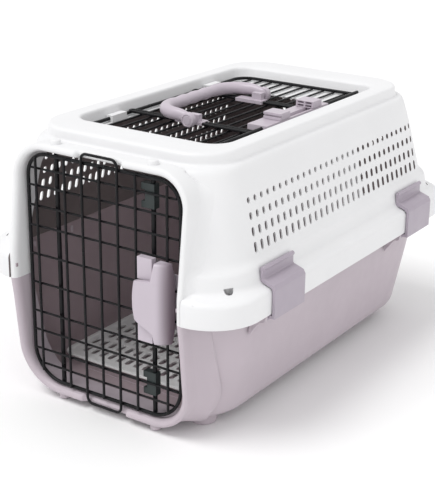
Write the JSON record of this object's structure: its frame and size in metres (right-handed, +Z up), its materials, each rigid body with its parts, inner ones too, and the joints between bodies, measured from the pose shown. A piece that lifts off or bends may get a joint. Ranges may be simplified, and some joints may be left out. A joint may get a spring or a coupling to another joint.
{
  "type": "pet transport carrier",
  "caption": "Two-part moulded pet carrier with a wire front door, a wire top door, a folding carry handle, side clips and a perforated floor mat.",
  "frame": {"origin": "middle of the carrier's outline, on the surface that its four feet stand on", "axes": "+Z up, Y along the length with the front door at -Y, X across the width with the top door's hinge at -X"},
  "size_m": [0.35, 0.5238, 0.3103],
  "materials": {
    "shell_white": "satin",
    "shell_lilac": "satin",
    "clip_lilac": "satin",
    "latch_lilac": "satin",
    "wire_black": "gloss",
    "fastener_steel": "plain",
    "mat_grey": "matte",
    "guide_dark": "matte"
  },
  "bodies": {
    "carrier": {"lower_shell": "shell_lilac", "lower_collar": "shell_lilac", "upper_shell": "shell_white", "upper_collar": "shell_white", "corner_bolts": "fastener_steel", "corner_nuts": "fastener_steel", "top_hinge_clips": "shell_white"},
    "floor_mat": {"floor_mat": "mat_grey"},
    "front_door": {"door_frame_wire": "wire_black", "door_upright_wires": "wire_black", "door_cross_wires": "wire_black", "door_stop_loop": "wire_black", "door_hinge_rod": "wire_black", "door_rod_guides": "guide_dark", "door_latch_cover": "latch_lilac", "door_latch_carrier": "latch_lilac", "door_latch_upper_spring": "fastener_steel", "door_latch_lower_spring": "fastener_steel"},
    "front_latch_upper": {"door_latch_upper_tab": "latch_lilac", "door_latch_upper_rod": "wire_black"},
    "front_latch_lower": {"door_latch_lower_tab": "latch_lilac", "door_latch_lower_rod": "wire_black"},
    "top_door": {"top_frame_wire": "wire_black", "top_long_wires": "wire_black", "top_cross_wires": "wire_black", "handle_brackets": "latch_lilac", "top_latch_base": "latch_lilac"},
    "top_latch_front": {"top_latch_front_tab": "latch_lilac", "top_latch_front_rod": "fastener_steel"},
    "top_latch_rear": {"top_latch_rear_tab": "latch_lilac", "top_latch_rear_rod": "fastener_steel"},
    "handle": {"carry_handle": "latch_lilac", "handle_pivot_pins": "latch_lilac"},
    "clip_front_right": {"side_clip_front_right": "clip_lilac"},
    "clip_rear_right": {"side_clip_rear_right": "clip_lilac"},
    "clip_front_left": {"side_clip_front_left": "clip_lilac"},
    "clip_rear_left": {"side_clip_rear_left": "clip_lilac"}
  },
  "joints": [
    {"name": "front_door_hinge", "type": "hinge", "parent": "carrier", "child": "front_door", "pos_m": [-0.0635, -0.236, 0.151], "axis": [0, 0, -1], "range_deg": [0, 105]},
    {"name": "front_latch_upper_slide", "type": "slide", "parent": "front_door", "child": "front_latch_upper", "axis": [0, 0, -1], "range_m": [0, 0.008], "stiffness_N_per_m": 150, "springref_m": -0.006, "deforming": ["door_latch_upper_spring"]},
    {"name": "front_latch_lower_slide", "type": "slide", "parent": "front_door", "child": "front_latch_lower", "axis": [0, 0, 1], "range_m": [0, 0.008], "stiffness_N_per_m": 150, "springref_m": -0.006, "deforming": ["door_latch_lower_spring"]},
    {"name": "top_door_hinge", "type": "hinge", "parent": "carrier", "child": "top_door", "pos_m": [-0.0915, 0, 0.2915], "axis": [0, -1, 0], "range_deg": [0, 88]},
    {"name": "top_latch_front_slide", "type": "slide", "parent": "top_door", "child": "top_latch_front", "axis": [0, 1, 0], "range_m": [0, 0.008], "stiffness_N_per_m": 150, "springref_m": -0.006},
    {"name": "top_latch_rear_slide", "type": "slide", "parent": "top_door", "child": "top_latch_rear", "axis": [0, -1, 0], "range_m": [0, 0.008], "stiffness_N_per_m": 150, "springref_m": -0.006},
    {"name": "handle_hinge", "type": "hinge", "parent": "top_door", "child": "handle", "pos_m": [0, -0.01, 0.2985], "axis": [0, 1, 0], "range_deg": [0, 135]},
    {"name": "floor_mat_lift", "type": "slide", "parent": "carrier", "child": "floor_mat", "axis": [0, 0, 1], "range_m": [0, 0.1]},
    {"name": "clip_front_right_hinge", "type": "hinge", "parent": "carrier", "child": "clip_front_right", "pos_m": [0.163, -0.152, 0.135], "axis": [0, 1, 0], "range_deg": [0, 100]},
    {"name": "clip_rear_right_hinge", "type": "hinge", "parent": "carrier", "child": "clip_rear_right", "pos_m": [0.163, 0.152, 0.135], "axis": [0, 1, 0], "range_deg": [0, 100]},
    {"name": "clip_front_left_hinge", "type": "hinge", "parent": "carrier", "child": "clip_front_left", "pos_m": [-0.163, -0.152, 0.135], "axis": [0, -1, 0], "range_deg": [0, 100]},
    {"name": "clip_rear_left_hinge", "type": "hinge", "parent": "carrier", "child": "clip_rear_left", "pos_m": [-0.163, 0.152, 0.135], "axis": [0, -1, 0], "range_deg": [0, 100]}
  ]
}
